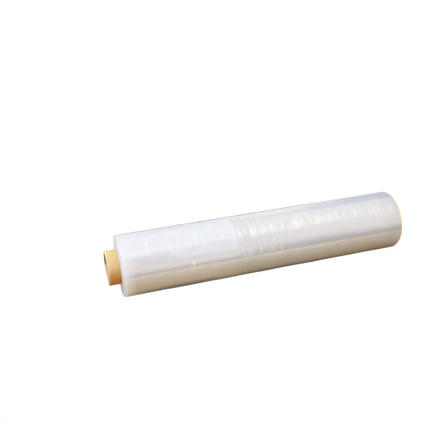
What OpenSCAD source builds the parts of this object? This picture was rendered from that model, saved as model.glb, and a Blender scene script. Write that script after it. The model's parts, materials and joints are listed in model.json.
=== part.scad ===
// Hand roll of stretch film on a cardboard core, in millimetres.
// The roll stands on the end where film and core are flush, with its axis on Z.
// The bare end of the core points up and serves as the grip.

/* [Core] */
// Bore of the core
core_bore = 50.8; // [38:0.2:76.2]
// Wall of the core
core_wall = 3.8; // [3.4:0.1:6]
// Length of bare core beyond the film
grip_l = 20; // [8:1:120]
// Chamfer on the sharp edges of the core's cut ends
core_chamfer = 0.5; // [0.2:0.1:0.6]
// Radius to which hands have worn the outer edge of the grip
worn_r = 1.2; // [0.6:0.1:1.2]
// Number of board plies in the wall
plies = 4; // [2:1:4]
// Depth of the line between two plies on the cut ends
ply_line = 0.14; // [0.08:0.02:0.16]

/* [Film] */
// Width of the film, which is the length of the wound body
film_w = 500; // [320:10:760]
// Depth of film wound on the core
film_depth = 22.5; // [18:0.5:60]
// Radius of the worn outer edges of the wound body
edge_r = 4.5; // [2:0.5:6]
// Height of the broad hoops that film of uneven gauge leaves
hoop_h = 0.22; // [0.02:0.02:0.4]
// Distance from one broad hoop to the next
hoop_pitch = 76; // [60:1:120]
// Share of the height that the even hoops have, and the uneven ones have the rest
hoop_share = 0.6; // [0.4:0.05:0.8]

/* [End faces] */
// Mean width of a bundle of turns on the end faces
bundle_w = 1.3; // [1:0.1:3]
// Least that a bundle of turns stands back from the end of the body
bundle_back = 0.15; // [0.1:0.05:0.5]
// Range over which the bundles stand back further
bundle_depth = 0.45; // [0.1:0.05:1]
// Height by which each bundle leans, from its outer turn to its inner one
lean_h = 0.2; // [0.1:0.05:0.3]
// Width of the flat land of tight outer turns that the roll stands on
land_w = 5; // [3:0.5:8]

/* [Loose wrap] */
// Width of the torn outer wrap, from the grip end down to its torn edge
wrap_w = 196; // [120:1:280]
// How far one layer of the wrap stands off the wound film
wrap_t = 0.3; // [0.1:0.05:0.6]
// Angle round the axis at which the free end of the film lies
wrap_end = -111; // [-180:1:180]
// Angle round the axis that the wrap covers
wrap_sweep = 311; // [180:1:345]
// Radius of the rolled bead along the torn edge
bead_r = 0.55; // [0.3:0.05:1]
// Width of the hem where the free end is folded back on itself
hem_w = 6; // [3:0.5:12]
// Height of the pinched nub of film on the hem
nub_h = 0.7; // [0.3:0.1:1.2]
// Radius of the ball that the nub is a cap of
nub_r = 4; // [3:0.5:6]
// Distance from the torn edge to the nub
nub_up = 79; // [20:1:100]

/* [Hidden] */
$fn = 72;

core_in_r = core_bore / 2;
core_r = core_in_r + core_wall;
core_l = film_w + grip_l;
film_r = core_r + film_depth;
face_r = film_r - edge_r;
land_r = face_r - land_w;
side_l = film_w - 2 * edge_r;
tear_z = film_w - wrap_w;
bundles = floor((land_r - core_r) / bundle_w);
hoop_steps = ceil(6 * side_l / hoop_pitch);
edge_steps = 6;
bead_steps = 6;
worn_steps = 4;
wrap_over_edge = 60;
sunk_depth = 2;
golden = 0.618;

// The same outline at the other end of a body of length l, in reverse order
function flipped(outline, l) = [
    for (i = [len(outline) - 1:-1:0]) [outline[i][0], l - outline[i][1]]
];

// Arc of radius r about a centre in the section plane, from angle a to angle b
function arc(centre, r, a, b, steps) = [
    for (i = [0:steps])
        let (t = a + (b - a) * i / steps) centre + r * [cos(t), sin(t)]
];

// Fractions that follow one another with no repeat
function scatter(i) = i * golden - floor(i * golden);

// Cut end of the core, from its bore out, with a fine line between the plies
ply_w = (core_wall - core_chamfer - worn_r) / plies;
function ply_edge(k) = core_in_r + core_chamfer + k * ply_w;
function cut_end(outer_edge) = concat(
    [[core_in_r, core_chamfer], [ply_edge(0), 0]],
    [for (k = [1:plies - 1], side = [-1, 0, 1])
        [ply_edge(k) + side * ply_line, side == 0 ? ply_line : 0]],
    outer_edge
);
function sharp_edge() = [[core_r - core_chamfer, 0], [core_r, core_chamfer]];
function worn_edge() = arc([core_r - worn_r, worn_r], worn_r, -90, 0, worn_steps);

// End face of the wound film: each bundle of turns leans and stands back a little
function share(i) = 0.5 + scatter(i);
function shares(n) = n == 0 ? 0 : share(n) + shares(n - 1);
function bundle_r(i) = core_r + (land_r - core_r) * shares(i) / shares(bundles);
function stand_back(i) = bundle_back + bundle_depth * scatter(i);
function end_face(first) = [
    for (i = [0:bundles - 1], outer = [0, 1])
        [bundle_r(i + outer), stand_back(first + i) + lean_h * (1 - outer)]
];
function film_end(first) = concat(
    end_face(first),
    [[land_r, 0]],
    arc([face_r, edge_r], edge_r, -90, 0, edge_steps)
);

// Broad hoops: how far the side stands over film_r at height z, fading at both ends
function fade(z) = min(1, (z - edge_r) / hoop_pitch, (film_w - edge_r - z) / hoop_pitch);
function hoop(z) = hoop_h * fade(z)
    * (hoop_share * sin(360 * z / hoop_pitch)
        + (1 - hoop_share) * sin(360 * z / hoop_pitch * golden));
function side(raise, low) = [
    for (i = [1:hoop_steps - 1])
        let (z = edge_r + side_l * i / hoop_steps)
            if (z > low) [film_r + raise + hoop(z), z]
];

// Section of a sector of the torn wrap that stands raise over the wound film
function wrap_section(raise) = concat(
    [[film_r - sunk_depth, tear_z]],
    arc([film_r + raise + hoop(tear_z), tear_z + bead_r], bead_r, -90, 90, bead_steps),
    side(raise, tear_z + 2 * bead_r),
    arc([face_r, film_w - edge_r], edge_r + raise, 0, wrap_over_edge, edge_steps),
    [[face_r, film_w - edge_r]]
);

module wound_film() {
    rotate_extrude()
        polygon(concat(
            film_end(1),
            side(0, 0),
            flipped(film_end(bundles), film_w)
        ));
}

module wrap_sector(raise, sweep) {
    rotate([0, 0, wrap_end])
        rotate_extrude(angle = sweep)
            polygon(wrap_section(raise));
}

module nub() {
    hem_angle = hem_w / film_r * 180 / PI;
    nub_z = tear_z + nub_up;
    rotate([0, 0, wrap_end + hem_angle / 2])
        translate([film_r + hoop(nub_z) + 2 * wrap_t + nub_h - nub_r, 0, nub_z])
            sphere(r = nub_r);
}

// Spiral wound cardboard tube
module core() {
    color("#dcae62")
    rotate_extrude()
        polygon(concat(cut_end(sharp_edge()), flipped(cut_end(worn_edge()), core_l)));
}

// Film wound tight on the core, with the torn outer wrap lying loose on it
module film_roll() {
    color("#e4e8ee")
    union() {
        wound_film();
        wrap_sector(wrap_t, wrap_sweep);
        wrap_sector(2 * wrap_t, hem_w / film_r * 180 / PI);
        nub();
    }
}

core();
film_roll();
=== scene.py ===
import json
import logging
import math
from collections.abc import Iterable
from dataclasses import dataclass
from enum import Enum
from typing import Any, Union

import bpy
import numpy as np
from mathutils import Euler, Matrix, Vector


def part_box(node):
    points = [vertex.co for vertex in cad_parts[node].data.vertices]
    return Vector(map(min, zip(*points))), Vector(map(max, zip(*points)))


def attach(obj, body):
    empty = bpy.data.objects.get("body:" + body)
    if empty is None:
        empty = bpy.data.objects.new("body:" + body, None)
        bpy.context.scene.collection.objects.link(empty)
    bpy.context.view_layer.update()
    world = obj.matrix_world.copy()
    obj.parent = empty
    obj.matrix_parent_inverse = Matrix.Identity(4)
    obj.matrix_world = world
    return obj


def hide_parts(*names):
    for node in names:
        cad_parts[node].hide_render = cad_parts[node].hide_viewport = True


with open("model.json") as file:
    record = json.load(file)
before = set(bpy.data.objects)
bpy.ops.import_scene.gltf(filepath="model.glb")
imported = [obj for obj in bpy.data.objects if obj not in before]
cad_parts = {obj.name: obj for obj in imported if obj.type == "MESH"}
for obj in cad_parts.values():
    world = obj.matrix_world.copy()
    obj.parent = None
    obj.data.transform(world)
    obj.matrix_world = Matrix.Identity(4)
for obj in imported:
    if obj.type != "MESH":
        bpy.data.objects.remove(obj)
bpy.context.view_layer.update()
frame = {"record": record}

MM = 0.001
TAU = 2.0 * math.pi
log = logging.getLogger("stretch_roll")

Colour = tuple[float, float, float, float]
WHITE: Colour = (1.0, 1.0, 1.0, 1.0)
BLACK: Colour = (0.0, 0.0, 0.0, 1.0)

# Numbers of a Mix node's colour sockets, which share their names with sockets of other types
MIX_FACTOR, MIX_LOW, MIX_HIGH, MIX_RESULT = 0, 6, 7, 2
# Nearer to the axis than this, in metres, a point has no steady bearing
NEAR_AXIS = 0.001


# Shader maths

class Signal:
    """A socket that carries one number, so that plain Python maths adds Math nodes."""

    def __init__(self, graph: "Graph", socket: bpy.types.NodeSocket) -> None:
        """Wraps a socket.

        Args:
            graph: the node tree that the socket is in.
            socket: the output socket.
        """
        self.graph = graph
        self.socket = socket

    def _math(self, operation: str, *values: "Value") -> "Signal":
        """Adds one Math node.

        Args:
            operation: the node's operation.
            values: what goes into its sockets, in order.

        Returns:
            The node's result.
        """
        node = self.graph.add("ShaderNodeMath", {"operation": operation}, dict(enumerate(values)))
        return Signal(self.graph, node.outputs[0])

    def __add__(self, other: "Value") -> "Signal":
        """self + other."""
        return self._math("ADD", self, other)

    def __radd__(self, other: "Value") -> "Signal":
        """other + self."""
        return self._math("ADD", other, self)

    def __sub__(self, other: "Value") -> "Signal":
        """self - other."""
        return self._math("SUBTRACT", self, other)

    def __rsub__(self, other: "Value") -> "Signal":
        """other - self."""
        return self._math("SUBTRACT", other, self)

    def __mul__(self, other: "Value") -> "Signal":
        """self * other."""
        return self._math("MULTIPLY", self, other)

    def __rmul__(self, other: "Value") -> "Signal":
        """other * self."""
        return self._math("MULTIPLY", other, self)

    def __truediv__(self, other: "Value") -> "Signal":
        """self / other."""
        return self._math("DIVIDE", self, other)

    def __rtruediv__(self, other: "Value") -> "Signal":
        """other / self."""
        return self._math("DIVIDE", other, self)

    def __abs__(self) -> "Signal":
        """The size of self without its sign."""
        return self._math("ABSOLUTE", self)

    def sine(self) -> "Signal":
        """The sine of self in radians."""
        return self._math("SINE", self)

    def root(self) -> "Signal":
        """The square root of self."""
        return self._math("SQRT", self)

    def fraction(self) -> "Signal":
        """The part of self after the point."""
        return self._math("FRACT", self)

    def angle_from(self, x: "Signal") -> "Signal":
        """The angle of the point (x, self), in radians."""
        return self._math("ARCTAN2", self, x)

    def at_most(self, limit: "Value") -> "Signal":
        """The smaller of self and limit."""
        return self._math("MINIMUM", self, limit)

    def at_least(self, limit: "Value") -> "Signal":
        """The larger of self and limit."""
        return self._math("MAXIMUM", self, limit)

    def between(self, low: float, high: float, soft: float) -> "Signal":
        """1 between two values, with edges that fall off over soft on either side."""
        return self.ease(low - soft, low + soft) * self.ease(high + soft, high - soft)

    def ease(self, low: float, high: float) -> "Signal":
        """A smooth step.

        Args:
            low: where the step starts from 0.
            high: where it reaches 1. It may be the smaller of the two.

        Returns:
            0 on low's side, 1 on high's side, and a smooth rise between.
        """
        turned = high < low
        first, last = (high, low) if turned else (low, high)
        node = self.graph.add(
            "ShaderNodeMapRange",
            {"interpolation_type": "SMOOTHSTEP"},
            {"Value": self, "From Min": first, "From Max": last},
        )
        rise = Signal(self.graph, node.outputs["Result"])
        return 1.0 - rise if turned else rise


Value = Union[Signal, float, int]
Tint = Union[Colour, bpy.types.NodeSocket]
Place = tuple[Signal, Signal, Signal]


@dataclass(frozen=True)
class Front:
    """A part of the way round the axis, by its bearing and soft edges, all in degrees.

    It is full up to inner on either side of the bearing, and ends at outer.
    """

    bearing: float
    outer: float
    inner: float


@dataclass(frozen=True)
class Grain:
    """Soft noise whose features have one size across the axis and another along it.

    detail is how many finer octaves it has.
    """

    across: float
    along: float
    detail: float


class Space(Enum):
    """Coordinates that a texture is laid out in."""

    OBJECT = "Object"
    DIRECTION = "Generated"


class Graph:
    """The node tree of one material, or of the world."""

    def __init__(self, tree: bpy.types.NodeTree) -> None:
        """Starts an empty tree.

        Args:
            tree: the tree, whose nodes are cleared.
        """
        self.tree = tree
        tree.nodes.clear()

    def add(self, kind: str, settings: dict[str, Any], values: dict[Any, Any]) -> bpy.types.Node:
        """Adds one node.

        Args:
            kind: the node's type.
            settings: its properties, set before its sockets.
            values: a number, colour, signal or socket for each named or numbered input.

        Returns:
            The new node.
        """
        node = self.tree.nodes.new(kind)
        for name, setting in settings.items():
            setattr(node, name, setting)
        for name, value in values.items():
            if isinstance(value, Signal):
                self.tree.links.new(value.socket, node.inputs[name])
            elif isinstance(value, bpy.types.NodeSocket):
                self.tree.links.new(value, node.inputs[name])
            else:
                node.inputs[name].default_value = value
        return node

    def coordinates(self, space: Space) -> Place:
        """The point that is shaded.

        Args:
            space: the coordinates it is given in.

        Returns:
            Its x, y and z.
        """
        place = self.add("ShaderNodeTexCoord", {}, {})
        parts = self.add("ShaderNodeSeparateXYZ", {}, {0: place.outputs[space.value]})
        return tuple(Signal(self, socket) for socket in parts.outputs)

    def towards(self, place: Place, front: Front) -> Signal:
        """How much a point or a direction lies in a part of the way round the axis.

        Args:
            place: the point or the direction.
            front: the part of the way round.

        Returns:
            1 within its inner angle, 0 beyond its outer one.
        """
        x, y, _ = place
        bearing = math.radians(front.bearing)
        across = (x * x + y * y).root().at_least(NEAR_AXIS)
        facing = (x * math.cos(bearing) + y * math.sin(bearing)) / across
        return facing.ease(math.cos(math.radians(front.outer)), math.cos(math.radians(front.inner)))

    def grain(self, place: Place, grain: Grain) -> Signal:
        """Soft noise of one size across the axis and another along it.

        Args:
            place: where it is read.
            grain: its sizes.

        Returns:
            A number about 0.5, mostly from 0.25 to 0.75.
        """
        x, y, z = place
        across, along = grain.across, grain.along
        return self.noise(self.vector(x / across, y / across, z / along), grain.detail)

    def vector(self, x: Value, y: Value, z: Value) -> bpy.types.NodeSocket:
        """Three numbers as one vector."""
        return self.add("ShaderNodeCombineXYZ", {}, {0: x, 1: y, 2: z}).outputs[0]

    def noise(self, place: bpy.types.NodeSocket, detail: float) -> Signal:
        """Soft noise.

        Args:
            place: where it is read, already scaled so that a feature is 1 wide.
            detail: how many finer octaves it has.

        Returns:
            A number about 0.5, mostly from 0.25 to 0.75.
        """
        node = self.add("ShaderNodeTexNoise", {}, {"Vector": place, "Scale": 1.0, "Detail": detail})
        return Signal(self, node.outputs[0])

    def mix(self, amount: Value, low: Tint, high: Tint) -> bpy.types.NodeSocket:
        """Blends two colours.

        Args:
            amount: 0 for low and 1 for high.
            low: a colour or a colour socket.
            high: a colour or a colour socket.

        Returns:
            The blended colour.
        """
        values = {MIX_FACTOR: amount, MIX_LOW: low, MIX_HIGH: high}
        return self.add("ShaderNodeMix", {"data_type": "RGBA"}, values).outputs[MIX_RESULT]

    def layered(self, base: Tint, layers: Iterable[tuple[Value, Tint]]) -> Tint:
        """Lays colours over one another.

        Args:
            base: the lowest colour.
            layers: how much of each further colour shows, and the colour, from the lowest up.

        Returns:
            The colour that they make together.
        """
        for amount, layer in layers:
            base = self.mix(amount, base, layer)
        return base

    def attribute(self, name: str) -> Signal:
        """A number that each corner of the mesh holds."""
        node = self.add("ShaderNodeAttribute", {"attribute_name": name}, {})
        return Signal(self, node.outputs["Fac"])

    def bump(self, height: Signal, distance: float, strength: float) -> bpy.types.NodeSocket:
        """A Bump node.

        Args:
            height: from 0 to about 1.
            distance: how high 1 is, in metres.
            strength: how much of it shows.

        Returns:
            The bumped normal.
        """
        node = self.add(
            "ShaderNodeBump", {}, {"Strength": strength, "Distance": distance, "Height": height}
        )
        return node.outputs[0]

    def matt(self, colour: Tint) -> bpy.types.NodeSocket:
        """A plain matt surface."""
        return self.add("ShaderNodeBsdfDiffuse", {}, {"Color": colour}).outputs[0]

    def glow(self, colour: Tint, strength: float) -> bpy.types.NodeSocket:
        """Light that the surface gives off itself."""
        return self.add("ShaderNodeEmission", {}, {"Color": colour, "Strength": strength}).outputs[0]

    def show(self, shader: bpy.types.NodeSocket) -> None:
        """Makes a shader the material's surface."""
        self.add("ShaderNodeOutputMaterial", {}, {"Surface": shader})


def new_material(name: str) -> tuple[bpy.types.Material, Graph]:
    """Makes an empty material.

    Args:
        name: its name.

    Returns:
        The material and its node tree.
    """
    material = bpy.data.materials.new(name)
    material.use_nodes = True
    return material, Graph(material.node_tree)


def srgb(red: int, green: int, blue: int) -> Colour:
    """A colour given as screen values from 0 to 255.

    Args:
        red: its red.
        green: its green.
        blue: its blue.

    Returns:
        The same colour in linear light, with alpha 1.
    """
    parts = [c / 255.0 for c in (red, green, blue)]
    linear = [c / 12.92 if c < 0.04045 else ((c + 0.055) / 1.055) ** 2.4 for c in parts]
    return (*linear, 1.0)


# Mesh helpers

class LatticeNoise:
    """Smooth noise over angle and height that closes on itself round the roll."""

    def __init__(self, seed: int, around: int, along: int) -> None:
        """Draws the table.

        Args:
            seed: what the table is drawn from.
            around: cells once round the roll.
            along: cells along its whole length.
        """
        self.around = around
        self.along = along
        self.table = np.random.default_rng(seed).uniform(-1.0, 1.0, (around, along + 2))

    def __call__(self, turn: np.ndarray, share: np.ndarray) -> np.ndarray:
        """Reads the noise.

        Args:
            turn: angle as a share of a turn, any number.
            share: place along the roll, from 0 to 1.

        Returns:
            Numbers from -1 to 1.
        """
        u = np.mod(turn, 1.0) * self.around
        v = np.clip(share, 0.0, 1.0) * self.along
        i, j = np.floor(u).astype(int), np.floor(v).astype(int)
        fu, fv = (t * t * (3.0 - 2.0 * t) for t in (u - i, v - j))
        low, high = i % self.around, (i + 1) % self.around
        first = self.table[low, j] * (1.0 - fu) + self.table[high, j] * fu
        last = self.table[low, j + 1] * (1.0 - fu) + self.table[high, j + 1] * fu
        return first * (1.0 - fv) + last * fv


def smooth(low: float, high: float, x: np.ndarray) -> np.ndarray:
    """Smooth rise from 0 at low to 1 at high."""
    t = np.clip((x - low) / (high - low), 0.0, 1.0)
    return t * t * (3.0 - 2.0 * t)


def ridge(x: np.ndarray, half_width: float) -> np.ndarray:
    """A round ridge of height 1 about 0 that ends at half_width on each side."""
    return np.sqrt(np.clip(1.0 - (x / half_width) ** 2, 0.0, 1.0))


def revolved_mesh(
    name: str, points: np.ndarray, masks: dict[str, np.ndarray]
) -> bpy.types.Object:
    """A closed skin of revolution.

    Args:
        name: the piece's name.
        points: corners as a grid, section by angle by 3. The section closes on itself.
        masks: one number for each corner, by name.

    Returns:
        The new object, in the scene.
    """
    rows, columns = points.shape[:2]
    row, column = np.meshgrid(np.arange(rows), np.arange(columns), indexing="ij")
    next_row, next_column = (row + 1) % rows, (column + 1) % columns
    corners = np.stack([
        row * columns + column,
        row * columns + next_column,
        next_row * columns + next_column,
        next_row * columns + column,
    ], axis=-1).reshape(-1, 4)
    mesh = bpy.data.meshes.new(name)
    mesh.from_pydata(points.reshape(-1, 3).tolist(), [], corners.tolist())
    mesh.polygons.foreach_set("use_smooth", np.ones(len(corners), dtype=bool))
    for mask_name, mask in masks.items():
        layer = mesh.attributes.new(mask_name, "FLOAT", "POINT")
        layer.data.foreach_set("value", mask.reshape(-1).astype(np.float32))
    mesh.update()
    piece = bpy.data.objects.new(name, mesh)
    bpy.context.collection.objects.link(piece)
    return piece


def round_the_axis(radius: np.ndarray, height: np.ndarray, angle: np.ndarray) -> np.ndarray:
    """A grid of points, with x, y and z last, from their radius, height and angle round Z."""
    return np.stack([radius * np.cos(angle), radius * np.sin(angle), height], axis=-1)


# Sizes

@dataclass(frozen=True)
class RollSizes:
    """Sizes of the roll in metres, the CAD solids' own."""

    core_in_r: float
    core_r: float
    core_l: float
    film_w: float
    film_depth: float = 22.5 * MM
    edge_r: float = 4.5 * MM
    land_w: float = 5.0 * MM

    @classmethod
    def from_frame(cls) -> "RollSizes":
        """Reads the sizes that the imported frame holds.

        Returns:
            The sizes.
        """
        bore = next(m for m in frame["record"]["mounts"] if m["name"] == "core_bore")
        core_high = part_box("core")[1]
        return cls(
            core_in_r=bore["dims"]["r_mm"] * MM,
            core_r=core_high[0],
            core_l=core_high[2],
            film_w=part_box("film_roll")[1][2],
        )

    @property
    def film_r(self) -> float:
        """Radius of the wound film."""
        return self.core_r + self.film_depth

    @property
    def face_r(self) -> float:
        """Where an end face turns into the worn edge."""
        return self.film_r - self.edge_r

    @property
    def land_r(self) -> float:
        """Inner radius of the land of tight outer turns."""
        return self.face_r - self.land_w


# Finishes

@dataclass(frozen=True)
class FilmFinish:
    """Clear stretch film, wound: silvery where it is tight, and milky under the loose wrap.

    Its colours come first, then the lengths of its zones, their fronts and the textures. Several of
    its colours are painted light and shade, laid on by fronts round the axis.
    """

    tight: Colour = srgb(233, 232, 233)
    milky: Colour = srgb(236, 238, 243)
    cool: Colour = srgb(232, 241, 246)
    streak_and_shade: Colour = srgb(204, 207, 213)
    end_tint: Colour = srgb(226, 223, 224)
    mauve: Colour = srgb(196, 194, 206)
    warm: Colour = srgb(232, 216, 194)
    glare: Colour = srgb(255, 248, 240)
    tan: Colour = srgb(214, 170, 124)
    highlight_and_nub_white: Colour = srgb(255, 254, 252)
    foot: Colour = srgb(250, 212, 146)
    foot_shade: Colour = srgb(196, 194, 190)
    # Colour of the painted glow of the worn top end and its rim.
    painted_glow: Colour = (0.325, 0.335, 0.358, 1.0)

    worn_w: float = 26.0 * MM
    rim_w: float = 9.0 * MM
    rim_full_w: float = 2.0 * MM
    foot_shade_w: float = 48.0 * MM
    foot_shade_full_w: float = 4.0 * MM
    foot_w: float = 4.6 * MM
    foot_full_w: float = 2.4 * MM
    tear_shadow_w: float = 60.0 * MM
    ribbed_w: float = 110.0 * MM
    ribbed_full_w: float = 33.0 * MM
    nub_half: float = 1.5 * MM
    short_glare: tuple[float, float] = (131.0 * MM, 164.0 * MM)
    long_glare: tuple[float, float] = (226.0 * MM, 298.0 * MM)

    lit: Front = Front(-67.0, 19.0, 3.0)
    glaring: Front = Front(-67.0, 10.0, 4.0)
    highlight_ticks_front: Front = Front(-67.0, 12.0, 2.0)
    shaded_ribs: Front = Front(-58.0, 50.0, 36.0)
    mirrors_dark: Front = Front(-105.0, 11.0, 6.0)
    warm_reflection: Front = Front(-103.5, 9.0, 4.0)
    mauve_reflection: Front = Front(-89.0, 17.0, 6.0)
    shaded: Front = Front(8.0, 52.0, 12.0)
    blue_reflection: Front = Front(-38.0, 50.0, 20.0)
    glow_boost: Front = Front(-120.0, 95.0, 45.0)
    shade_under_core: Front = Front(-165.0, 45.0, 25.0)
    nub: Front = Front(-109.5, 6.0, 2.0)

    hoops: Grain = Grain(28.0 * MM, 2.4 * MM, 1.0)
    wide_hoops: Grain = Grain(28.0 * MM / 0.6, 8.0 * MM, 1.0)
    highlight_ticks: Grain = Grain(60.0 * MM, 3.4 * MM, 0.0)
    blotches: Grain = Grain(22.0 * MM, 22.0 * MM, 3.0)
    crumple: Grain = Grain(9.0 * MM, 11.0 * MM, 0.0)
    clouds: Grain = Grain(16.0 * MM, 52.0 * MM, 2.0)
    turn_w: float = 0.5 * MM
    bundle_w: float = 2.4 * MM

    def make(self, sizes: RollSizes, tear_z: float, nub_z: float) -> bpy.types.Material:
        """Builds the material.

        Args:
            sizes: the roll's sizes.
            tear_z: height of the loose wrap's torn edge.
            nub_z: height of the pinched nub on its hem.

        Returns:
            The material.
        """
        material, g = new_material("stretch_film")
        film = FilmTexture(g, self, sizes, tear_z, nub_z)
        # Painted shade: the end face under the bare core is tinted tan and glows less there.
        shade_under_core = g.towards(film.place, self.shade_under_core) * film.on_face
        # Painted light: the worn top end and its rim glow, more strongly over one side.
        glow = (film.worn * (0.35 + film.on_face * 0.15) + film.rim * 0.35) * (1.0 - shade_under_core * 0.8)
        glow_boost = 1.0 + g.towards(film.place, self.glow_boost) * 0.7
        colour = g.mix(film.on_side, self._face_colour(film, shade_under_core), self._side_colour(film))
        shader = g.add("ShaderNodeBsdfPrincipled", {}, {
            "Base Color": g.mix(glow * 0.8, colour, self.painted_glow),
            "Emission Color": g.mix(glow * glow_boost, BLACK, self.painted_glow),
            "Emission Strength": 1.0,
            "Roughness": film.roughness(),
            "Metallic": film.metal(),
            "IOR": 1.5,
            "Coat Weight": 0.5 * film.on_side,
            "Coat Roughness": 0.06,
            "Normal": g.bump(film.relief(), 0.12 * MM, 0.8),
        })
        g.show(shader.outputs[0])
        return material

    def _side_colour(self, film: "FilmTexture") -> Tint:
        """Colour of the wound side: streaked where it is tight, cloudy under the loose wrap, with
        painted highlights, reflections and shade laid on by fronts round the axis.

        Args:
            film: its zones and textures.

        Returns:
            The colour.
        """
        g, place, wrap, clouds = film.graph, film.place, film.wrap, film.clouds
        streaks = film.wide_hoops.ease(0.45, 0.75) * 0.1 + film.hoops.ease(0.5, 0.3) * 0.08
        # Painted shadow: greyer streaks just under the torn edge of the loose wrap.
        streaks = streaks + film.grey * 0.08
        # Painted shade: darker hoop streaks on one side only, under the torn edge.
        ribs = film.shaded_ribs * g.towards(place, self.shaded_ribs) * film.hoops.ease(0.5, 0.38)
        # Painted reflection: a bluish tint on one side of the loose wrap.
        blue_reflection = g.towards(place, self.blue_reflection) * film.blotches.ease(0.4, 0.62)
        shaded = g.towards(place, self.shaded) * (0.25 + clouds.ease(0.35, 0.65) * 0.5)
        # Painted reflection: a mauve tint on one side of the loose wrap.
        mauve_reflection = g.towards(place, self.mauve_reflection) * clouds.ease(0.4, 0.6)
        # Painted reflection: a warm band on one side of the loose wrap.
        warm_reflection = g.towards(place, self.warm_reflection)
        # Painted highlight: light dashes and ticks laid only on the lit front; the same white also
        # whitens the pinched nub.
        dashes = (film.dashes * (0.55 - wrap * 0.2) + film.highlight_ticks * film.bare * 0.6).at_most(1.0)
        z = place[2]
        return g.layered(self.tight, (
            (film.haze, self.milky),
            (blue_reflection * wrap * 0.35, self.cool),
            (streaks * (1.0 - film.haze * 0.4), self.streak_and_shade),
            (ribs * 0.3, self.streak_and_shade),
            (shaded * wrap, self.streak_and_shade),
            (mauve_reflection * wrap * (0.3 - film.worn * 0.3), self.mauve),
            (warm_reflection * wrap * 0.2, self.warm),
            (dashes * film.lit, self.highlight_and_nub_white),
            (film.glare * (0.45 + film.dashes * 0.55), self.glare),
            (film.nub * 0.9, self.highlight_and_nub_white),
            # Painted shade: darker towards the foot end of the roll.
            (z.ease(self.foot_shade_w, self.foot_shade_full_w) * 0.22, self.foot_shade),
            # Painted highlight: a warm cream line round the rim of the foot end.
            (z.ease(self.foot_w, self.foot_full_w), self.foot),
        ))

    def _face_colour(self, film: "FilmTexture", shade_under_core: Signal) -> Tint:
        """Colour of the end faces, ringed by the turns, with painted shade under the bare core.

        Args:
            film: its zones and textures.
            shade_under_core: how much a point lies under the bare core in the photograph.

        Returns:
            The colour.
        """
        rings = film.turns.ease(0.35, 0.7) * 0.4 + film.bundles.ease(0.3, 0.7) * 0.35
        # Painted shade: tan on the end face under the bare core.
        return film.graph.layered(self.milky, ((rings, self.end_tint), (shade_under_core * 0.35, self.tan)))


class FilmTexture:
    """Zones and textures of the film, as numbers that change over it."""

    def __init__(
        self, g: Graph, finish: FilmFinish, sizes: RollSizes, tear_z: float, nub_z: float
    ) -> None:
        """Lays the zones and the textures out.

        Args:
            g: the material's nodes.
            finish: fronts and sizes of the zones and the textures.
            sizes: the roll's sizes.
            tear_z: height of the loose wrap's torn edge.
            nub_z: height of the pinched nub on its hem.
        """
        self.graph = g
        self.place = g.coordinates(Space.OBJECT)
        x, y, z = self.place
        radius = (x * x + y * y).root()
        top = sizes.film_w
        self.on_side = radius.ease(sizes.face_r - 1.0 * MM, sizes.face_r + 2.5 * MM)
        self.on_face = 1.0 - self.on_side
        self.wrap = g.attribute("wrap")
        self.bare = 1.0 - self.wrap
        self.worn = z.ease(top - finish.worn_w, top)
        self.rim = z.ease(top - finish.rim_w, top - finish.rim_full_w)
        # Painted shadow of the loose wrap: greyer just under its torn edge, on the bare film.
        self.grey = z.ease(tear_z - finish.tear_shadow_w, tear_z) * self.bare
        # Band under the torn edge where darker hoop streaks are painted as shade on one side.
        self.shaded_ribs = z.ease(tear_z - finish.ribbed_w, tear_z - finish.ribbed_full_w)
        self.shaded_ribs = self.shaded_ribs * z.ease(tear_z, tear_z - 3.0 * MM)
        self.lit = g.towards(self.place, finish.lit)
        self.mirrors_dark = g.towards(self.place, finish.mirrors_dark)
        spots = z.between(*finish.short_glare, 6.0 * MM)
        spots = spots + z.between(*finish.long_glare, 8.0 * MM) * 0.35
        self.glare = spots * g.towards(self.place, finish.glaring)
        on_nub = z.between(nub_z - finish.nub_half, nub_z + finish.nub_half, 2.0 * MM)
        self.nub = on_nub * g.towards(self.place, finish.nub)

        self.hoops = g.grain(self.place, finish.hoops)
        self.wide_hoops = g.grain(self.place, finish.wide_hoops)
        self.dashes = self.hoops.ease(0.54, 0.66)
        # Painted highlight: ticks on the lit front only.
        highlight_ticks = g.grain(self.place, finish.highlight_ticks).ease(0.56, 0.7)
        self.highlight_ticks = highlight_ticks * g.towards(self.place, finish.highlight_ticks_front)
        self.blotches = g.grain(self.place, finish.blotches)
        self.crumple = g.grain(self.place, finish.crumple)
        self.clouds = g.grain(self.place, finish.clouds)
        self.turns = g.noise(g.vector(radius / finish.turn_w, x * 4.0, y * 4.0), 3.0)
        self.bundles = g.noise(g.vector(radius / finish.bundle_w, x * 9.0, y * 9.0), 1.0)
        haze = self.wrap * 0.75 + self.worn * 0.6 + self.blotches.ease(0.45, 0.75) * 0.2
        self.haze = haze.at_most(1.0)

    def roughness(self) -> Signal:
        """How rough the film is: shiny where it is tight, softer under the wrap and on the ends.

        Returns:
            The roughness.
        """
        side = 0.225 + self.wrap * 0.14 + (self.blotches - 0.5) * 0.06
        side = side - self.dashes * self.lit * 0.04
        return side * self.on_side + (0.42 + (self.turns - 0.5) * 0.2) * self.on_face

    def metal(self) -> Signal:
        """How silvery the many tight layers look together.

        Returns:
            The metallic share.
        """
        side = 0.42 - self.haze * 0.18 - self.worn * 0.3 + self.glare * 0.08 - self.nub * 0.3
        side = side + self.dashes * (0.03 + self.lit * 0.12)
        side = side - self.shaded_ribs * self.mirrors_dark * self.hoops.ease(0.42, 0.56) * 0.25
        return side.at_least(0.0) * self.on_side + 0.2 * self.on_face

    def relief(self) -> Signal:
        """Fine hoops and creases on the side, and turns on the end faces."""
        side = self.hoops * 0.12 + self.wide_hoops * 0.3 + self.crumple * (0.25 + self.wrap * 0.3)
        return side * self.on_side + (self.turns * 0.7 + self.bundles * 0.6) * self.on_face


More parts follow.
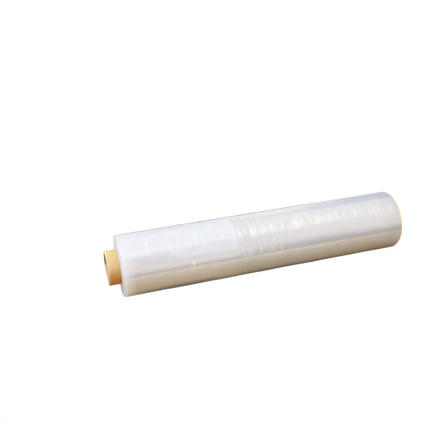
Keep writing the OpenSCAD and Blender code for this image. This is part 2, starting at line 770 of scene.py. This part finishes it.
@dataclass(frozen=True)
class BoardFinish:
    """Kraft tube board: fibres, a spiral seam, a pale cut lip and a darker bore, with painted shade on
    the underside and painted light inside the mouth.
    """

    kraft: Colour = srgb(249, 218, 152)
    light: Colour = srgb(252, 226, 170)
    underside_shade_colour: Colour = srgb(230, 168, 72)
    fibre: Colour = srgb(218, 160, 86)
    bore: Colour = srgb(170, 128, 100)
    lip: Colour = srgb(255, 240, 200)
    seam: Colour = srgb(150, 98, 44)
    bounce: Colour = (0.16, 0.10, 0.055, 1.0)

    seam_lead: float = 96.0 * MM
    seam_w: float = 0.9 * MM
    ply: float = 0.72 * MM
    rubbed_w: float = 4.0 * MM
    lit_mouth_w: float = 6.0 * MM

    underside_shade: Front = Front(-150.0, 60.0, 20.0)
    fibres: Grain = Grain(1.4 * MM, 0.8 * MM, 3.0)
    flecks: Grain = Grain(0.5 * MM, 0.35 * MM, 1.0)
    patches: Grain = Grain(14.0 * MM, 9.0 * MM, 2.0)

    def make(self, sizes: RollSizes) -> bpy.types.Material:
        """Builds the material.

        Args:
            sizes: the roll's sizes.

        Returns:
            The material.
        """
        material, g = new_material("core_board")
        place = g.coordinates(Space.OBJECT)
        x, y, z = place
        radius = (x * x + y * y).root()
        turn = y.angle_from(x) / TAU
        from_top = sizes.core_l - z
        fibres = g.grain(place, self.fibres)
        flecks = g.grain(place, self.flecks)
        patches = g.grain(place, self.patches)

        across = abs((z / self.seam_lead + turn).fraction() - 0.5) * self.seam_lead
        seam = across.ease(self.seam_w, self.seam_w * 0.3)
        in_bore = radius.ease(sizes.core_in_r + 0.7 * MM, sizes.core_in_r + 0.2 * MM)
        cut = (from_top.ease(0.7 * MM, 0.3 * MM) + z.ease(0.7 * MM, 0.3 * MM)).at_most(1.0)
        cut = cut * (1.0 - in_bore * 0.5)
        plies = (radius * (TAU / self.ply)).sine() * 0.5 + 0.5
        rubbed = from_top.ease(self.rubbed_w, self.rubbed_w * 0.3) * (1.0 - in_bore)
        # Painted light: a pale lit strip inside the mouth on one side, which also glows with the
        # bounce colour.
        lit_mouth = from_top.ease(self.lit_mouth_w, self.lit_mouth_w * 0.4) * x.ease(12.0 * MM, 4.0 * MM)
        # Painted shade: darker and more orange on the core's underside.
        underside_shade = g.towards(place, self.underside_shade) * (0.75 + patches * 0.3).at_most(1.0)
        fibrous = fibres.ease(0.52, 0.8) * 0.45 + flecks.ease(0.6, 0.8) * 0.25
        long_fibres = fibres.ease(0.4, 0.8)

        outside = g.layered(self.kraft, (
            (patches.ease(0.35, 0.7), self.light),
            (underside_shade, self.underside_shade_colour),
            (fibrous, self.fibre),
        ))
        inside = g.layered(self.bore, ((long_fibres * 0.4, self.fibre), (lit_mouth * 0.9, self.lip)))
        edge = g.mix(plies * 0.35 + long_fibres * 0.25, self.lip, self.fibre)
        colour = g.layered(outside, (
            (in_bore, inside),
            (seam * 0.75, self.seam),
            (rubbed * 0.8, self.lip),
            (cut, edge),
        ))
        height = fibres * 0.5 + flecks * 0.3 - seam * 1.6 + plies * cut * 0.6
        shader = g.add("ShaderNodeBsdfPrincipled", {}, {
            "Base Color": colour,
            "Emission Color": g.mix(lit_mouth * in_bore, BLACK, self.bounce),
            "Emission Strength": 1.0,
            "Roughness": 0.62 + fibres * 0.2 + cut * 0.1,
            "IOR": 1.45,
            "Normal": g.bump(height, 0.1 * MM, 0.7),
        })
        g.show(shader.outputs[0])
        return material


# Pieces

@dataclass
class CardboardCore:
    """The spiral wound tube: bare grip, cut lips with a line between plies, and the bore."""

    sizes: RollSizes
    finish: BoardFinish
    chamfer: float = 0.5 * MM
    worn_r: float = 1.2 * MM
    plies: int = 4
    ply_line: float = 0.14 * MM
    seam_step: float = 0.12 * MM
    wear: float = 0.18 * MM
    columns: int = 128
    worn_rows: int = 7
    grip_rows: int = 26
    bore_rows: int = 90

    def cut_end(self, outer_edge: list[tuple[float, float]]) -> list[tuple[float, float]]:
        """A cut end's section from the bore out.

        Args:
            outer_edge: its outermost points.

        Returns:
            Radius of each point, and its height over the end.
        """
        inner, outer = self.sizes.core_in_r + self.chamfer, self.sizes.core_r - self.worn_r
        ply_w = (outer - inner) / self.plies
        lines = [
            (inner + k * ply_w + side * self.ply_line, self.ply_line if side == 0 else 0.0)
            for k in range(1, self.plies)
            for side in (-1, 0, 1)
        ]
        return [(self.sizes.core_in_r, self.chamfer), (inner, 0.0)] + lines + outer_edge

    def section(self) -> tuple[np.ndarray, np.ndarray]:
        """The whole section, once round.

        Returns:
            Radius and height of each row.
        """
        s = self.sizes
        low = self.cut_end([(s.core_r - self.chamfer, 0.0), (s.core_r, self.chamfer)])
        worn = [
            (s.core_r - self.worn_r * (1.0 - math.cos(a)), self.worn_r * (1.0 + math.sin(a)))
            for a in np.linspace(-math.pi / 2.0, 0.0, self.worn_rows)
        ]
        high = [(r, s.core_l - h) for r, h in reversed(self.cut_end(worn))]
        hidden = [share * s.film_w for share in (0.25, 0.5, 0.75)]
        bare = np.linspace(s.film_w - 6.0 * MM, s.core_l - self.worn_r, self.grip_rows)[:-1]
        outer = [(s.core_r, h) for h in (*hidden, *bare)]
        inside = np.linspace(s.core_l - self.chamfer, self.chamfer, self.bore_rows)[1:-1]
        bore = [(s.core_in_r, h) for h in inside]
        rows = np.array(low + outer + high + bore)
        return rows[:, 0], rows[:, 1]

    def build(self) -> bpy.types.Object:
        """Builds and dresses the tube.

        Returns:
            The new piece.
        """
        s = self.sizes
        radius, height = self.section()
        angle = np.linspace(0.0, TAU, self.columns, endpoint=False)
        r, t = np.meshgrid(radius, angle, indexing="ij")
        h = np.broadcast_to(height[:, None], r.shape)
        on_grip = (r > s.core_r - 0.01 * MM) & (h > s.film_w + 0.5 * MM)
        phase = np.mod(h / self.finish.seam_lead + t / TAU, 1.0)
        lift = np.where(on_grip, self.seam_step * (phase - 0.5), 0.0)
        uneven = 0.5 + 0.5 * LatticeNoise(seed=11, around=26, along=40)(t / TAU, h / s.core_l)
        near_lip = smooth(s.core_l - 3.0 * MM, s.core_l, h)
        worn_off = np.where(h > s.core_l - 1.0 * MM, self.wear * uneven * near_lip, 0.0)
        points = round_the_axis(r + lift, h - worn_off, t)
        piece = revolved_mesh("cardboard_core", points, {})
        piece.data.materials.append(self.finish.make(s))
        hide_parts("core")
        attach(piece, "root")
        return piece


@dataclass
class LooseWrap:
    """The torn outer layer: its edges, bead, hem, nub and creases, as heights over the film."""

    sizes: RollSizes
    width: float = 196.0 * MM
    layer: float = 0.3 * MM
    end_angle: float = math.radians(-111.0)
    sweep: float = math.radians(311.0)
    bead_r: float = 0.55 * MM
    hem_w: float = 6.0 * MM
    hem_soft: float = 0.5 * MM
    hem_wave: float = 0.35 * MM
    nub_h: float = 0.7 * MM
    nub_half_w: float = 2.0 * MM
    nub_half_l: float = 2.6 * MM
    nub_up: float = 79.0 * MM
    tear_soft: float = 0.15 * MM
    tear_wave: float = 0.9 * MM
    crease: float = 0.16 * MM

    @property
    def tear_z(self) -> float:
        """Height of the torn edge."""
        return self.sizes.film_w - self.width

    @property
    def nub_z(self) -> float:
        """Height of the pinched nub on the hem."""
        return self.tear_z + self.nub_up

    def tear_line(self, turn: np.ndarray) -> np.ndarray:
        """Height of the torn edge at each angle, given as a share of a turn."""
        wave = LatticeNoise(seed=5, around=17, along=1)
        return self.tear_z + self.tear_wave * wave(turn, np.zeros_like(turn))

    def relief(self, angle: np.ndarray, height: np.ndarray) -> tuple[np.ndarray, np.ndarray]:
        """How far the wrap lifts the surface.

        Args:
            angle: angle of each corner, in radians.
            height: height of each corner.

        Returns:
            The lift of each corner, and how much of it the wrap covers, from 0 to 1.
        """
        s = self.sizes
        turn = angle / TAU
        past_end = np.mod(angle - self.end_angle, TAU)
        wave = LatticeNoise(seed=7, around=3, along=26)(turn * 0.0, height / s.film_w)
        from_hem = past_end * s.film_r + self.hem_wave * wave
        to_far_end = (self.sweep - past_end) * s.film_r
        cover = smooth(0.0, self.hem_soft, from_hem) * smooth(0.0, 2.5 * MM, to_far_end)
        cover = np.where(past_end > math.pi + self.sweep / 2.0, 0.0, cover)
        over_tear = height - self.tear_line(turn)
        cover = cover * smooth(-self.tear_soft, self.tear_soft, over_tear)
        on_hem = cover * (1.0 - smooth(self.hem_w - self.hem_soft, self.hem_w, from_hem))

        uneven = LatticeNoise(seed=8, around=40, along=1)(turn, np.zeros_like(turn))
        round_bead = ridge(over_tear - self.bead_r, 1.15 * self.bead_r)
        bead = self.bead_r * (0.8 + 0.35 * uneven) * round_bead
        side = (from_hem - self.hem_w / 2.0) / self.nub_half_w
        up = (height - self.nub_z) / self.nub_half_l
        nub = self.nub_h * np.exp(-side ** 2 - up ** 2)

        creases = self.creases(turn, height) * smooth(0.0, 9.0 * MM, over_tear)
        lift = cover * (self.layer + creases) + on_hem * self.layer
        return lift + bead * cover + nub, cover

    def creases(self, turn: np.ndarray, height: np.ndarray) -> np.ndarray:
        """Slanted creases of the loose film, strongest near the tear.

        Args:
            turn: angle of each corner, as a share of a turn.
            height: height of each corner.

        Returns:
            How far the creases lift each corner.
        """
        share = height / self.sizes.film_w
        bend = 0.05 * LatticeNoise(seed=21, around=7, along=16)(turn, share)
        slanted = LatticeNoise(seed=22, around=34, along=60)(turn + 0.42 * share + bend, share)
        near_tear = 1.0 - smooth(20.0 * MM, 150.0 * MM, height - self.tear_z)
        folds = 1.0 - 1.6 * np.sqrt(slanted ** 2 + 0.03)
        return self.crease * folds * (0.35 + 0.65 * near_tear)


@dataclass
class WoundFilm:
    """The wound film: worn edges, end faces of many turns, hoops, and the loose wrap over it."""

    sizes: RollSizes
    wrap: LooseWrap
    finish: FilmFinish
    hoop_h: float = 0.22 * MM
    hoop_pitch: float = 76.0 * MM
    hoop_share: float = 0.6
    golden: float = 0.618
    fine_hoop: float = 0.035 * MM
    flat_spot: float = 0.09 * MM
    bundle_w: float = 1.3 * MM
    bundle_back: float = 0.15 * MM
    bundle_depth: float = 0.45 * MM
    lean_h: float = 0.2 * MM
    turn_step: float = 0.06 * MM
    turn_gap: float = 0.02 * MM
    turns_per_bundle: int = 3
    worn_rows: int = 11
    side_rows: int = 410
    close_row: float = 0.2 * MM
    columns: int = 150
    close_column: float = math.radians(0.3)

    @property
    def bundles(self) -> int:
        """How many bundles of turns an end face has."""
        return int((self.sizes.land_r - self.sizes.core_r) / self.bundle_w)

    def scatter(self, i: int) -> float:
        """Fractions that follow one another with no repeat."""
        return i * self.golden % 1.0

    def end_face(self, first: int) -> list[tuple[float, float]]:
        """Turns on an end face.

        Args:
            first: where the bundles' pattern starts.

        Returns:
            Radius and how far each point stands back, from the core out.
        """
        s = self.sizes
        shares = np.cumsum([0.0] + [0.5 + self.scatter(i) for i in range(1, self.bundles + 1)])
        radii = s.core_r + (s.land_r - s.core_r) * shares / shares[-1]
        points = []
        for i in range(self.bundles):
            back = self.bundle_back + self.bundle_depth * self.scatter(first + i)
            for k in range(self.turns_per_bundle + 1):
                part = k / self.turns_per_bundle
                fine = self.turn_step * (self.scatter(7 * i + 3 * k) - 0.5)
                radius = radii[i] + (radii[i + 1] - radii[i]) * part
                inset = self.turn_gap * (1 if k == 0 else -1 if k == self.turns_per_bundle else 0)
                points.append((radius + inset, back + self.lean_h * (1.0 - part) + fine))
        return points

    def film_end(self, first: int) -> list[tuple[float, float]]:
        """An end's section from the core out to the side.

        Args:
            first: where the bundles' pattern starts.

        Returns:
            Radius and height of each point over the end.
        """
        s = self.sizes
        land = [(s.land_r, 0.0), (s.land_r + 2.0 * MM, 0.0), (s.face_r, 0.0)]
        worn = [
            (s.face_r + s.edge_r * math.cos(a), s.edge_r + s.edge_r * math.sin(a))
            for a in np.linspace(-math.pi / 2.0, 0.0, self.worn_rows)[1:]
        ]
        return self.end_face(first) + land + worn

    def side_heights(self) -> np.ndarray:
        """Heights of the side's rows, closer together about the torn edge.

        Returns:
            The heights in order.
        """
        s = self.sizes
        even = np.linspace(s.edge_r, s.film_w - s.edge_r, self.side_rows)[1:-1]
        close = self.wrap.tear_z + np.arange(-11, 16) * self.close_row
        far = even[(even < close[0] - self.close_row) | (even > close[-1] + self.close_row)]
        return np.sort(np.concatenate([far, close]))

    def angles(self) -> np.ndarray:
        """Angles of the columns, closer together about the edges that run along the roll.

        Returns:
            The angles in order, in radians.
        """
        even = np.linspace(0.0, TAU, self.columns, endpoint=False)
        hem_turn = self.wrap.hem_w / self.sizes.film_r
        edges = [self.wrap.end_angle, self.wrap.end_angle + hem_turn]
        about = np.arange(-4, 5) * self.close_column
        close = np.mod(np.concatenate([edge + about for edge in edges]), TAU)
        gap = np.abs(even[:, None] - close[None, :]).min(axis=1)
        return np.sort(np.concatenate([even[gap > self.close_column], close]))

    def hoop(self, height: np.ndarray) -> np.ndarray:
        """Broad hoops, as the solid has them.

        Args:
            height: height of each corner.

        Returns:
            How far the hoops lift each corner.
        """
        s = self.sizes
        low, high = height - s.edge_r, s.film_w - s.edge_r - height
        fade = np.clip(np.minimum(low, high) / self.hoop_pitch, 0.0, 1.0)
        phase = TAU * height / self.hoop_pitch
        uneven = (1.0 - self.hoop_share) * np.sin(phase * self.golden)
        return self.hoop_h * fade * (self.hoop_share * np.sin(phase) + uneven)

    def texture(self, angle: np.ndarray, height: np.ndarray) -> np.ndarray:
        """Fine hoops and flat spots.

        Args:
            angle: angle of each corner, in radians.
            height: height of each corner.

        Returns:
            How far they lift each corner.
        """
        turn, share = angle / TAU, height / self.sizes.film_w
        fine = LatticeNoise(seed=31, around=5, along=210)(turn, share)
        wider = LatticeNoise(seed=32, around=3, along=90)(turn, share)
        flats = LatticeNoise(seed=33, around=9, along=11)(turn, share)
        return self.fine_hoop * (fine + 0.7 * wider) + self.flat_spot * flats

    def build(self) -> bpy.types.Object:
        """Builds and dresses the wound film.

        Returns:
            The new piece.
        """
        s = self.sizes
        low = self.film_end(1)
        high = [(r, s.film_w - h) for r, h in reversed(self.film_end(self.bundles))]
        side = [(s.film_r, h) for h in self.side_heights()]
        rows = np.array(low + side + high)
        angle = self.angles()
        r, t = np.meshgrid(rows[:, 0], angle, indexing="ij")
        h = np.broadcast_to(rows[:, 1][:, None], r.shape)

        on_side = smooth(s.face_r, s.film_r - 0.3 * MM, r)
        lift, cover = self.wrap.relief(t, h)
        ends = smooth(0.0, 12.0 * MM, np.minimum(h, s.film_w - h))
        raise_by = self.hoop(h) + ends * self.texture(t, h) + lift
        points = round_the_axis(r + on_side * raise_by, h, t)
        piece = revolved_mesh("wound_film", points, {"wrap": cover * on_side})
        piece.data.materials.append(self.finish.make(s, self.wrap.tear_z, self.wrap.nub_z))
        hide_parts("film_roll")
        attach(piece, "root")
        return piece


# Studio

@dataclass(frozen=True)
class SkyPatch:
    """One soft patch of the surroundings that the film mirrors.

    low and high bound it by the upward part of a direction, from -1 to 1, with soft edges.
    """

    bearing_deg: float
    half_width_deg: float
    soft_deg: float
    colour: Colour
    low: float = -2.0
    high: float = 2.0
    soft: float = 0.03

    def over(self, g: Graph, direction: Place) -> Signal:
        """How much of the patch a direction sees.

        Args:
            g: the world's nodes.
            direction: the direction.

        Returns:
            From 0 to 1.
        """
        outer = self.half_width_deg + self.soft_deg
        inner = max(self.half_width_deg - self.soft_deg, 0.0)
        seen = g.towards(direction, Front(self.bearing_deg, outer, inner))
        return seen * direction[2].between(self.low, self.high, self.soft)


def panel(name: str, place: Matrix, half_x: float, half_y: float) -> bpy.types.Object:
    """A flat rectangle of the stage.

    Args:
        name: its name.
        place: where it goes.
        half_x: half its size along its own x.
        half_y: half its size along its own y.

    Returns:
        The rectangle, marked as stage.
    """
    signs = ((-1, -1), (1, -1), (1, 1), (-1, 1))
    mesh = bpy.data.meshes.new(name)
    mesh.from_pydata([(sx * half_x, sy * half_y, 0.0) for sx, sy in signs], [], [(0, 1, 2, 3)])
    flat = bpy.data.objects.new(name, mesh)
    flat.matrix_world = place
    bpy.context.collection.objects.link(flat)
    return flat


def upright(middle: tuple[float, float, float]) -> Matrix:
    """Where a card goes whose own x points down and whose own y stays level."""
    return Matrix.Translation(middle) @ Matrix.Rotation(math.pi / 2.0, 4, "Y")


@dataclass(frozen=True)
class Card:
    """An upright card that takes light off the roll, unseen by the camera and not mirrored."""

    name: str
    middle: tuple[float, float, float]
    half_height: float
    half_width: float
    colour: Colour
    glow: Colour = BLACK
    glow_strength: float = 0.0

    def build(self) -> bpy.types.Object:
        """Makes the card.

        Returns:
            The card.
        """
        card = panel(self.name, upright(self.middle), self.half_height, self.half_width)
        material, g = new_material(self.name)
        surface = g.matt(self.colour)
        if self.glow_strength > 0.0:
            glow = g.glow(self.glow, self.glow_strength)
            surface = g.add("ShaderNodeAddShader", {}, {0: surface, 1: glow}).outputs[0]
        g.show(surface)
        card.data.materials.append(material)
        card.visible_camera = False
        card.visible_glossy = False
        return card


@dataclass(frozen=True)
class TableCard:
    """A tan card close to the roll's photo-down side, seen only as a reflection and bounce."""

    film_r: float
    gap: float = 5.0 * MM
    front: float = -0.084
    back: float = 0.018
    low: float = -0.36
    high: float = 0.62
    glow_strength: float = 0.45

    def _tone(self, g: Graph, across: Signal, up: Signal) -> Tint:
        """The card's colour, which gives the tan bands that the film mirrors.

        Args:
            g: the card's nodes.
            across: place across the card, from the plane that holds the roll's axis.
            up: height over the floor.

        Returns:
            The colour.
        """
        # Painted shade on the card: a dark band along the roll, darker near the floor and brown beyond
        # the film's end.
        spared = up.between(0.27, 0.32, 0.02) * 0.25 + up.ease(0.455, 0.475) * 0.3
        upper = across.ease(-0.026, -0.006) * up.between(0.35, 0.44, 0.03)
        shade = across.ease(-0.018, -0.001) * (1.0 - spared) + upper * 0.5
        shade = shade + up.ease(0.13, 0.0) * 0.15
        return g.layered(srgb(208, 188, 158), (
            (across.ease(-0.068, -0.060), srgb(162, 144, 110)),
            (across.ease(-0.060, -0.045), srgb(152, 133, 97)),
            (across.ease(-0.040, -0.020), srgb(162, 145, 114)),
            (up.ease(0.28, 0.33) * 0.25, srgb(228, 205, 164)),
            (shade.at_most(1.0), srgb(62, 54, 44)),
            (up.ease(0.16, 0.06) * 0.45, srgb(152, 126, 72)),
            (up.ease(0.035, 0.0) * 0.5, srgb(120, 92, 56)),
            (up.ease(0.504, 0.512), srgb(124, 66, 22)),
        ))

    def build(self) -> bpy.types.Object:
        """Makes the card, clear along its two long edges.

        Returns:
            The card. The camera doesn't see it.
        """
        mid_y, mid_z = (self.front + self.back) / 2.0, (self.low + self.high) / 2.0
        place = upright((-(self.film_r + self.gap), mid_y, mid_z))
        card = panel("table_card", place, (self.high - self.low) / 2.0, (self.back - self.front) / 2.0)
        material, g = new_material("tan_table")
        x, y, _ = g.coordinates(Space.OBJECT)
        across, up = y + mid_y, mid_z - x
        tone = self._tone(g, across, up)
        glow = g.glow(tone, self.glow_strength)
        solid = g.add("ShaderNodeAddShader", {}, {0: g.matt(tone), 1: glow}).outputs[0]
        clear = g.add("ShaderNodeBsdfTransparent", {}, {}).outputs[0]
        within = across.ease(-0.077, -0.070) * across.ease(0.018, 0.008)
        both = g.add("ShaderNodeMixShader", {}, {0: within, 1: clear, 2: solid})
        g.show(both.outputs[0])
        card.data.materials.append(material)
        card.visible_camera = False
        return card


@dataclass(frozen=True)
class SoftBox:
    """A soft box that faces the middle of the roll."""

    bearing_deg: float = -60.0
    lift: float = 0.6
    far: float = 1.6
    size: float = 0.8
    power: float = 1.5
    colour: tuple[float, float, float] = (1.0, 0.98, 0.95)

    def build(self, aim_z: float) -> bpy.types.Object:
        """Makes the light.

        Args:
            aim_z: height of the point on the roll's axis that it faces.

        Returns:
            The light.
        """
        data = bpy.data.lights.new("soft_box", "AREA")
        data.shape = "RECTANGLE"
        data.size = data.size_y = self.size
        data.energy = self.power
        data.color = self.colour
        lamp = bpy.data.objects.new("soft_box", data)
        bearing = math.radians(self.bearing_deg)
        place = Vector((self.far * math.cos(bearing), self.far * math.sin(bearing), self.lift))
        turned = (Vector((0.0, 0.0, aim_z)) - place).to_track_quat("-Z", "Y")
        lamp.matrix_world = Matrix.Translation(place) @ turned.to_matrix().to_4x4()
        bpy.context.collection.objects.link(lamp)
        return lamp


@dataclass
class Studio:
    """Floor, surroundings, light and the cards that stand in for the room.

    core_flag keeps the light off the underside of the bare core, and grey_card keeps some of
    it off the photo-up side. Each of the patches lies over those before it.
    """

    sizes: RollSizes
    floor_half: float = 12.0
    floor_glow: float = 0.9
    low_sky: Colour = (0.67, 0.68, 0.71, 1.0)
    open_sky: Colour = (1.03, 1.035, 1.06, 1.0)
    overhead: Colour = (0.98, 0.97, 0.97, 1.0)
    underfoot: Colour = (0.92, 0.90, 0.88, 1.0)
    core_flag: Card = Card(
        "core_flag", (-0.070, -0.150, 0.68), 0.175, 0.23,
        colour=srgb(104, 56, 16), glow=srgb(220, 104, 16), glow_strength=0.13,
    )
    grey_card: Card = Card("grey_card", (0.12, 0.20, 0.31), 0.16, 0.17, colour=srgb(104, 102, 108))
    patches: tuple[SkyPatch, ...] = (
        SkyPatch(-84.0, 24.0, 24.0, (0.80, 0.79, 0.80, 1.0)),
        SkyPatch(-48.0, 10.0, 9.0, (0.94, 0.94, 0.95, 1.0)),
        SkyPatch(-112.0, 9.0, 6.0, (0.74, 0.65, 0.59, 1.0)),
        SkyPatch(-137.0, 13.0, 4.0, (0.19, 0.20, 0.22, 1.0)),
        SkyPatch(-112.0, 10.0, 6.0, (1.00, 0.94, 0.91, 1.0), low=-0.23),
        SkyPatch(-137.0, 13.0, 4.0, (0.32, 0.32, 0.33, 1.0), low=-0.23),
        SkyPatch(12.0, 5.0, 2.0, (0.58, 0.64, 0.74, 1.0), low=-0.44, high=-0.30),
        SkyPatch(31.0, 25.0, 3.0, (0.33, 0.41, 0.56, 1.0), high=-0.415, soft=0.035),
        SkyPatch(84.0, 18.0, 12.0, (0.66, 0.66, 0.67, 1.0)),
        SkyPatch(90.0, 22.0, 12.0, (0.16, 0.15, 0.14, 1.0), low=-0.39, high=0.2),
        SkyPatch(150.0, 12.0, 9.0, (1.2, 1.19, 1.17, 1.0)),
        SkyPatch(112.0, 10.0, 6.0, (0.52, 0.54, 0.57, 1.0)),
        SkyPatch(192.0, 14.0, 8.0, (0.60, 0.60, 0.62, 1.0)),
        SkyPatch(-50.0, 14.0, 8.0, (1.2, 1.13, 1.04, 1.0), low=-0.43, high=-0.395, soft=0.012),
        SkyPatch(-52.0, 13.0, 7.0, (1.18, 1.17, 1.14, 1.0), low=-0.345, high=-0.28, soft=0.012),
        SkyPatch(-50.0, 16.0, 8.0, (0.78, 0.78, 0.81, 1.0), high=-0.45),
        SkyPatch(-100.0, 14.0, 8.0, (0.84, 0.71, 0.60, 1.0), high=-0.45),
        SkyPatch(-122.0, 9.0, 4.0, (0.06, 0.13, 0.27, 1.0), low=-0.45, high=-0.32),
        SkyPatch(-137.0, 9.0, 4.0, (0.10, 0.06, 0.01, 1.0), high=-0.31),
    )

    def world(self) -> None:
        """White to the camera, and soft patches of light and grey to the film."""
        world = bpy.data.worlds.new("studio")
        bpy.context.scene.world = world
        world.use_nodes = True
        g = Graph(world.node_tree)
        direction = g.coordinates(Space.DIRECTION)
        z = direction[2]
        colour = g.mix(z.ease(-0.58, -0.30), self.low_sky, self.open_sky)
        colour = g.layered(colour, ((p.over(g, direction), p.colour) for p in self.patches))
        colour = g.layered(colour, (
            (z.ease(0.25, 0.6), self.overhead),
            (z.ease(-0.68, -0.82), self.underfoot),
        ))
        seen = g.add("ShaderNodeLightPath", {}, {}).outputs["Is Camera Ray"]
        shown = g.mix(Signal(g, seen), colour, WHITE)
        back = g.add("ShaderNodeBackground", {}, {"Color": shown, "Strength": 1.0})
        g.add("ShaderNodeOutputWorld", {}, {"Surface": back.outputs[0]})

    def floor(self) -> bpy.types.Object:
        """A wide pale floor at the foot of the roll.

        Returns:
            The floor.
        """
        floor = panel("floor", Matrix.Identity(4), self.floor_half, self.floor_half)
        material, g = new_material("pale_floor")
        grain = g.grain(g.coordinates(Space.OBJECT), Grain(0.4, 0.4, 2.0))
        tone = g.mix(grain, (0.93, 0.93, 0.93, 1.0), (0.96, 0.96, 0.96, 1.0))
        layers = {0: self.floor_glow, 1: g.matt(tone), 2: g.glow(WHITE, 1.08)}
        g.show(g.add("ShaderNodeMixShader", {}, layers).outputs[0])
        floor.data.materials.append(material)
        floor.visible_glossy = False
        return floor

    def build(self) -> None:
        """Sets the whole studio up."""
        self.world()
        self.floor()
        TableCard(self.sizes.film_r).build()
        self.core_flag.build()
        self.grey_card.build()
        SoftBox().build(self.sizes.film_w / 2.0)


@dataclass
class PhotoCamera:
    """The photograph's view of the roll, which lies across it with its bare end to the left."""

    distance: float = 1.01913
    height: float = 0.58210
    tilt: tuple[float, float, float] = (-0.0648, 0.2435, 0.1587)
    focal_px: float = 609.78
    picture_px: float = 422.0
    sensor_mm: float = 36.0

    def build(self) -> bpy.types.Object:
        """Makes the camera and makes it the scene's.

        Returns:
            The camera.
        """
        data = bpy.data.cameras.new("photo_camera")
        data.sensor_width = self.sensor_mm
        data.lens = self.focal_px / self.picture_px * self.sensor_mm
        data.clip_start, data.clip_end = 0.01, 100.0
        camera = bpy.data.objects.new("photo_camera", data)
        # Its rows are the picture's right, its up, and the way back to the camera
        level = Matrix(((0.0, 0.0, -1.0), (1.0, 0.0, 0.0), (0.0, -1.0, 0.0)))
        axes = Euler(self.tilt, "XYZ").to_matrix() @ level
        place = Matrix.Translation((0.0, -self.distance, self.height))
        camera.matrix_world = place @ axes.transposed().to_4x4()
        bpy.context.collection.objects.link(camera)
        bpy.context.scene.camera = camera
        return camera


def report_piece(piece: bpy.types.Object) -> None:
    """Logs a piece's name and how many faces it has."""
    log.info("%s: %d faces", piece.name, len(piece.data.polygons))


def main() -> None:
    """Builds the roll, the studio and the camera."""
    logging.basicConfig(level=logging.INFO, format="%(message)s")
    sizes = RollSizes.from_frame()
    PhotoCamera().build()
    report_piece(CardboardCore(sizes, BoardFinish()).build())
    report_piece(WoundFilm(sizes, LooseWrap(sizes), FilmFinish()).build())
    Studio(sizes).build()
    bpy.context.scene.view_settings.view_transform = "Standard"


if __name__ == "__main__":
    main()
